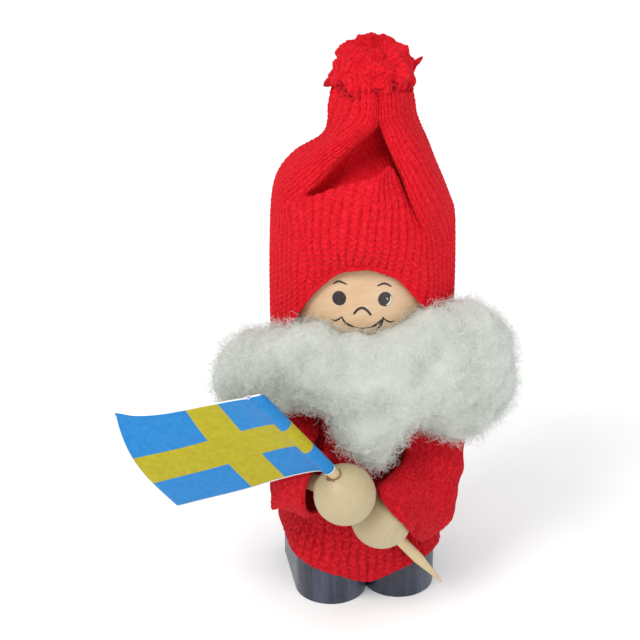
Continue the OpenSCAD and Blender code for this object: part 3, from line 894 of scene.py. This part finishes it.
def sweater_surface(u, v):
    degrees = 360 * u[0] - 180
    turn = np.radians(degrees)
    hem = mm * np.interp(degrees, hem_turns, hem_heights)
    hem = np.convolve(np.concatenate([hem[-9:-1], hem, hem[1:9]]), np.ones(17) / 17, "valid")
    outward = facing(turn)
    wide = block_reach(turn, 1.25)
    lining, roll = sweater_shares["lining"], sweater_shares["roll"]

    def reach_at(z):
        tube = mm * np.interp(z / mm, tube_heights, tube_reaches)
        low = np.clip((17.5 * mm - z) / (7.5 * mm), 0, 1)
        low = low * low * (3 - 2 * low)
        fold = 0.5 * mm * np.sin(5 * turn + z / mm * 0.25) * np.clip((z / mm - 14) / 6, 0, 1)
        return tube * (1 - low) + wide * low + fold * 0.6

    points = np.empty(u.shape + (3,))
    rows = np.empty(u.shape)
    plain = np.zeros(u.shape)
    for i, share in enumerate(v[:, 0]):
        if share < lining:
            t = share / lining
            z = sweater_top + (hem - sweater_top) * t
            reach = reach_at(z) - 1.3 * mm * min(1, t * 8)
            rows[i], plain[i] = 0, 1
        elif share < roll:
            t = (share - lining) / (roll - lining)
            swing = math.pi * (1 - t)
            reach = reach_at(hem) - 0.65 * mm + 0.75 * mm * math.cos(swing)
            z = hem - 0.7 * mm * math.sin(swing)
            rows[i] = (hem - sweater_top) / sweater_course - 1.5 * (1 - t)
            plain[i] = 0.6
        else:
            t = (share - roll) / (1 - roll)
            z = hem + (sweater_top - hem) * t
            reach = reach_at(z)
            rows[i] = (z - sweater_top) / sweater_course
            plain[i] = max(0.6 * (1 - t / 0.05), np.clip((t - 0.96) / 0.03, 0, 1))
        points[i] = outward * reach[:, None] + at_height(z)
    return points, rows, plain


# The sweater and sleeves are knitted from the hat's wool. They take a darker copy of the hat's red
# finish as painted shade, for the shade that the beard and head cast over the lower body.
shaded_red_knit = red_knit.copy()
shaded_red_knit.name = "red_knit_painted_shade"
painted_shade_factor = 0.62
for node in shaded_red_knit.node_tree.nodes:
    if node.bl_idname == "ShaderNodeValToRGB" and len(node.color_ramp.elements) == 4:
        for stop in node.color_ramp.elements:
            stop.color = [c * painted_shade_factor for c in stop.color[:3]] + [1]
sweater = knit("sweater_knitted", body_wales * 6, 150, sweater_surface, 0.55 * mm, body_wales, 1.5)
sweater.data.materials.append(shaded_red_knit)
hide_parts("sweater_body")
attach(sweater, "doll")

# --- Sleeves
# Two slack sleeves sewn to the shoulders, brushed until their stitches felt together. Each
# droops at the elbow, and its wide mouth takes the back of a hand ball.
sleeve_wales = 26
sleeve_shares = {"cap": 0.05, "wall": 0.8, "cuff": 0.86}


def sleeve(name, stations, seed):
    """A tube through stations of (middle, half its long width, half its short one)."""
    stations = np.array(stations, float) * mm
    steps = len(stations) - 1
    cap, wall, cuff = sleeve_shares.values()

    def surface(u, v):
        turn = -2 * np.pi * u
        points = np.empty(u.shape + (3,))
        rows = np.empty(u.shape)
        plain = np.zeros(u.shape)
        for i, share in enumerate(v[:, 0]):
            narrow, back = 1.0, 0.0
            if share < cap:
                t = share / cap
                at, narrow, plain[i] = 0.02 * t, math.sin(t * math.pi / 2), 1
            elif share < wall:
                at = 0.02 + (steps - 0.02) * (share - cap) / (wall - cap)
            elif share < cuff:
                swing = math.pi * (share - wall) / (cuff - wall)
                at, narrow = steps, 1 - 0.09 * (1 - math.cos(swing))
                back = -0.55 * math.sin(swing)
            else:
                t = (share - cuff) / (1 - cuff)
                at, plain[i] = steps - (steps - 0.25) * min(t / 0.9, 1), 1
                narrow = 0.82 * math.sqrt(max(1 - max(t - 0.85, 0) / 0.15, 0))
            middle, wide, deep = through(stations, np.array([at]))[0]
            ahead = through(stations, np.array([max(at - 0.1, 0)]))[0][0]
            go = (middle - ahead) / max(np.linalg.norm(middle - ahead), 1e-9)
            c, s = np.cos(turn[i])[:, None], np.sin(turn[i])[:, None]
            ring = np.sign(c) * np.abs(c) ** 0.9 * wide + np.sign(s) * np.abs(s) ** 0.9 * deep
            points[i] = middle + ring * narrow - go * back * mm
            rows[i] = share * 34
        outer = np.clip((v - cap) / 0.1, 0, 1) * np.clip((0.84 - v) / 0.06, 0, 1)
        slack = uneven(points, 9 * mm, seed) * 0.55 + uneven(points, 4.5 * mm, seed + 1) * 0.2
        spread = points - points.mean(axis=1, keepdims=True)
        spread /= np.maximum(np.linalg.norm(spread, axis=-1), 1e-6)[..., None]
        points = points + spread * (slack * outer * mm)[..., None]
        away = points - hand_middles["left" if "left" in name else "right"]
        far = np.linalg.norm(away, axis=-1)
        room = (6.35 + 0.55 * np.clip((cuff - v) / 0.06, 0, 1)) * mm
        pushed = points + away * (room / far - 1)[..., None]
        points = np.where((far < room)[..., None], pushed, points)
        return points, rows, plain

    made = knit(name, sleeve_wales * 6, 120, surface, 0.2 * mm, sleeve_wales, 0.4, 0.5)
    # The sleeve takes the darker red, with its painted shade.
    made.data.materials.append(shaded_red_knit)
    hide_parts(name.replace("_knitted", ""))
    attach(made, "doll")
    return made


sleeve_left = sleeve("sleeve_left_knitted", [
    ((10.0, -1.0, 49.5), (2.8, 0, -1.2), (0, 2.2, 1.5)),
    ((13.0, -3.5, 45.5), (5.0, 0, -2.0), (0.3, 3.6, 2.5)),
    ((14.8, -8.0, 37.0), (5.9, 0.5, -2.4), (0.3, 4.4, 2.6)),
    ((13.4, -12.4, 28.0), (4.9, 1.2, -7.0), (-0.9, 4.6, 0.6)),
    ((10.4, -15.6, 25.3), (4.0, 2.6, -8.2), (-1.2, 4.9, -0.2)),
    ((8.1, -18.6, 25.0), (4.6, 3.2, -7.5), (-1.1, 5.2, -0.5))], 21)
sleeve_right = sleeve("sleeve_right_knitted", [
    ((-10.0, -1.0, 49.5), (-2.8, 0, -1.2), (0, -2.2, -1.5)),
    ((-12.6, -3.5, 45.5), (-4.6, 0, -2.0), (0.3, -3.6, -2.5)),
    ((-13.6, -8.0, 37.0), (-5.0, 0.5, -2.4), (0.3, -4.4, -2.6)),
    ((-13.6, -12.8, 30.2), (-3.0, 1.0, -6.0), (-1.8, -3.8, -1.2)),
    ((-12.8, -16.3, 31.6), (-1.2, 0.8, -7.0), (-4.0, -3.2, -0.2)),
    ((-8.0, -20.2, 32.4), (-0.4, 0.4, -6.8), (-3.2, -3.8, 0))], 31)

# --- Beard
# A roll of loose white combed wool, glued across the chest and up both cheeks. It is soft and
# full, its surface is all fine curled fibres, and at its lower edge they thin out over the red.
wool_lumps = [
    ((-21.0, -6.6, 49.4), (7.8, 7.8, 8.8)), ((-15.0, -11.5, 54.0), (8.6, 7.5, 8.6)),
    ((-8.5, -15.2, 56.6), (8.6, 6.4, 9.2)), ((-1.0, -16.6, 55.0), (9.0, 6.0, 10.2)),
    ((1.6, -17.0, 45.6), (8.0, 5.2, 7.0)), ((3.0, -16.8, 38.8), (3.2, 3.2, 4.2)),
    ((6.0, -16.4, 54.6), (9.0, 6.0, 11.2)), ((13.0, -14.0, 56.0), (9.0, 6.8, 12.4)),
    ((19.0, -9.0, 54.0), (9.0, 7.8, 13.6)), ((22.6, -4.5, 50.5), (8.0, 8.0, 12.8)),
    ((18.5, -9.5, 44.5), (8.0, 5.0, 7.0)),
]
wool_parts = []
for middle, half in wool_lumps:
    pick()
    bpy.ops.mesh.primitive_ico_sphere_add(subdivisions=4, radius=1)
    lump = bpy.context.object
    lump.scale = [h * mm for h in half]
    lump.location = [m * mm for m in middle]
    bpy.ops.object.transform_apply(location=True, rotation=True, scale=True)
    wool_parts.append(lump)
beard = join("beard_wool", wool_parts)
melt = beard.modifiers.new("melt", "REMESH")
melt.mode = "VOXEL"
melt.voxel_size = 0.75 * mm
soften = beard.modifiers.new("soften", "SMOOTH")
soften.factor = 0.6
soften.iterations = 12
apply_all(beard)


hat_side = 18.3 * mm


def clear_of_doll(points, room):
    """Moves points that lie in the head, the hat's sides or the chest out to leave a gap."""
    points = points.copy()
    away = points - head_middle
    far = np.linalg.norm(away, axis=-1)
    inside = far < head_r + room
    points[inside] = head_middle + away[inside] / far[inside][:, None] * (head_r + room)
    flat = np.linalg.norm(points[:, :2], axis=-1)
    turn = np.degrees(np.arctan2(points[:, 0], -points[:, 1]))
    brim = mm * np.interp(turn, brim_turns, brim_heights)
    in_hat = (flat < hat_side + room) & (points[:, 2] > brim - 1.2 * mm)
    out = np.where(in_hat & (flat > 9 * mm), (hat_side + room) / np.maximum(flat, 1e-6), 1)
    points[:, :2] *= out[:, None]
    flat = np.linalg.norm(points[:, :2], axis=-1)
    tube = mm * np.interp(points[:, 2] / mm, tube_heights, tube_reaches) + 0.4 * mm + room
    out = np.where((flat < tube) & (points[:, 2] < 52 * mm), tube / np.maximum(flat, 1e-6), 1)
    points[:, :2] *= out[:, None]
    return points


spots, out = points_of(beard), points_of(beard, "normal")
swell = 0.8 * uneven(spots, 11 * mm, 41) + 0.3 * uneven(spots, 5 * mm, 42)
spots = clear_of_doll(spots + out * (mm * (swell - 0.3))[:, None], 0.35 * mm)
beard.data.vertices.foreach_set("co", spots.ravel())
beard.data.update()
pick(beard)
bpy.ops.object.shade_smooth()

white_wool = new_finish("white_wool", colour(232, 235, 228), 0.95)
tufts = cloudy(white_wool, stretched(white_wool), 150, 4, 0.5)
hairs = cloudy(white_wool, stretched(white_wool), 2200, 5, 1.5, 0.7)
wool_tone = shades(white_wool, tufts, (0.3, colour(190, 194, 186)), (0.65, colour(199, 202, 195)))
hair_lines = shades(white_wool, hairs, (0.35, grey(0.2)), (0.6, grey(0)))
give(white_wool, mixed(white_wool, hair_lines, wool_tone, colour(186, 190, 183)), "Base Color")
give(white_wool, bump(white_wool, hairs, 0.12 * mm, 0.5), "Normal")
tune(white_wool, {"Subsurface Weight": 0.6, "Subsurface Radius": (1, 1, 1),
                  "Subsurface Scale": 3 * mm, "Sheen Weight": 0.2, "Specular IOR Level": 0.1})
beard.data.materials.append(white_wool)
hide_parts("beard")
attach(beard, "doll")


def fibres(name, roots, ways, lengths, curl, thick, seed, keep=0.35, steps=6):
    """Fine curled fibres from roots, each a three-sided thread of a few steps."""
    rng = np.random.default_rng(seed)
    count = len(roots)
    line = np.empty((steps + 1, count, 3))
    line[0] = roots
    ways = ways / np.linalg.norm(ways, axis=1)[:, None]
    spin = rng.normal(size=(count, 3))
    spin /= np.linalg.norm(spin, axis=1)[:, None]
    for k in range(steps):
        turn = (curl * rng.uniform(0.4, 1.4, count) / steps)[:, None]
        ways = ways + np.cross(spin, ways) * turn + rng.normal(size=(count, 3)) * 0.16
        ways /= np.linalg.norm(ways, axis=1)[:, None]
        line[k + 1] = clear_of_doll(line[k] + ways * (lengths / steps)[:, None], keep * mm)
    run = np.gradient(line, axis=0)
    run /= np.maximum(np.linalg.norm(run, axis=2), 1e-9)[..., None]
    side = np.cross(run, spin)
    side /= np.maximum(np.linalg.norm(side, axis=2), 1e-9)[..., None]
    other = np.cross(run, side)
    taper = np.sin(np.pi * np.linspace(0.12, 0.93, steps + 1)) ** 0.5
    rings = []
    for corner in range(3):
        angle = 2 * math.pi * corner / 3
        rings.append(line + (side * math.cos(angle) + other * math.sin(angle))
                     * (thick * taper)[:, None, None])
    points = np.stack(rings, axis=2).transpose(1, 0, 2, 3).reshape(-1, 3)
    base = (np.arange(count) * (steps + 1) * 3)[:, None, None, None]
    ring = (np.arange(steps) * 3)[None, :, None, None]
    quad = np.array([[0, 1, 4, 3], [1, 2, 5, 4], [2, 0, 3, 5]])[None, None]
    faces = (base + ring + quad).reshape(-1, 4)
    mesh = bpy.data.meshes.new(name)
    mesh.vertices.add(len(points))
    mesh.vertices.foreach_set("co", points.ravel())
    mesh.loops.add(faces.size)
    mesh.loops.foreach_set("vertex_index", faces.ravel().astype(np.int32))
    mesh.polygons.add(len(faces))
    mesh.polygons.foreach_set("loop_start", np.arange(len(faces), dtype=np.int32) * 4)
    mesh.update(calc_edges=True)
    piece = bpy.data.objects.new(name, mesh)
    bpy.context.collection.objects.link(piece)
    mesh.materials.append(wool_fibre)
    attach(piece, "doll")
    return piece


wool_fibre = new_finish("wool_fibre", colour(240, 243, 236), 0.8)
mottle(wool_fibre, 240, (0.3, colour(218, 223, 215)), (0.7, colour(238, 240, 234)))
tune(wool_fibre, {"Specular IOR Level": 0.2})

spots, out = points_of(beard), points_of(beard, "normal")
rng = np.random.default_rng(61)
patch_fibres, fringe_fibres = 5400, 4200
for patch in range(5):
    picked = rng.choice(len(spots), patch_fibres)
    jitter = rng.normal(size=(patch_fibres, 3)) * 0.4 * mm
    along = rng.normal(size=(patch_fibres, 3))
    along -= out[picked] * (along * out[picked]).sum(1)[:, None]
    along /= np.linalg.norm(along, axis=1)[:, None]
    rise = rng.uniform(-0.05, 0.4, patch_fibres)[:, None]
    fibres("beard_fibres_%d" % (patch + 1), spots[picked] + jitter, along + out[picked] * rise,
           rng.uniform(1.5, 4.0, patch_fibres) * mm, 4.5, 0.02 * mm, 70 + patch)

# The thin lower edge of the wool, where single fibres lie over the red sleeves and chest.
edge = np.where((spots[:, 1] < -8 * mm) & (out[:, 2] < -0.15))[0]
picked = rng.choice(edge, fringe_fibres)
down = np.stack([rng.normal(mean, spread, fringe_fibres)
                 for mean, spread in ((0, 0.9), (-0.1, 0.4), (-0.7, 0.6))], -1)
fibres("beard_fringe", spots[picked] + out[picked] * 0.2 * mm, down,
       rng.uniform(1.5, 4.5, fringe_fibres) * mm, 5.0, 0.022 * mm, 90)
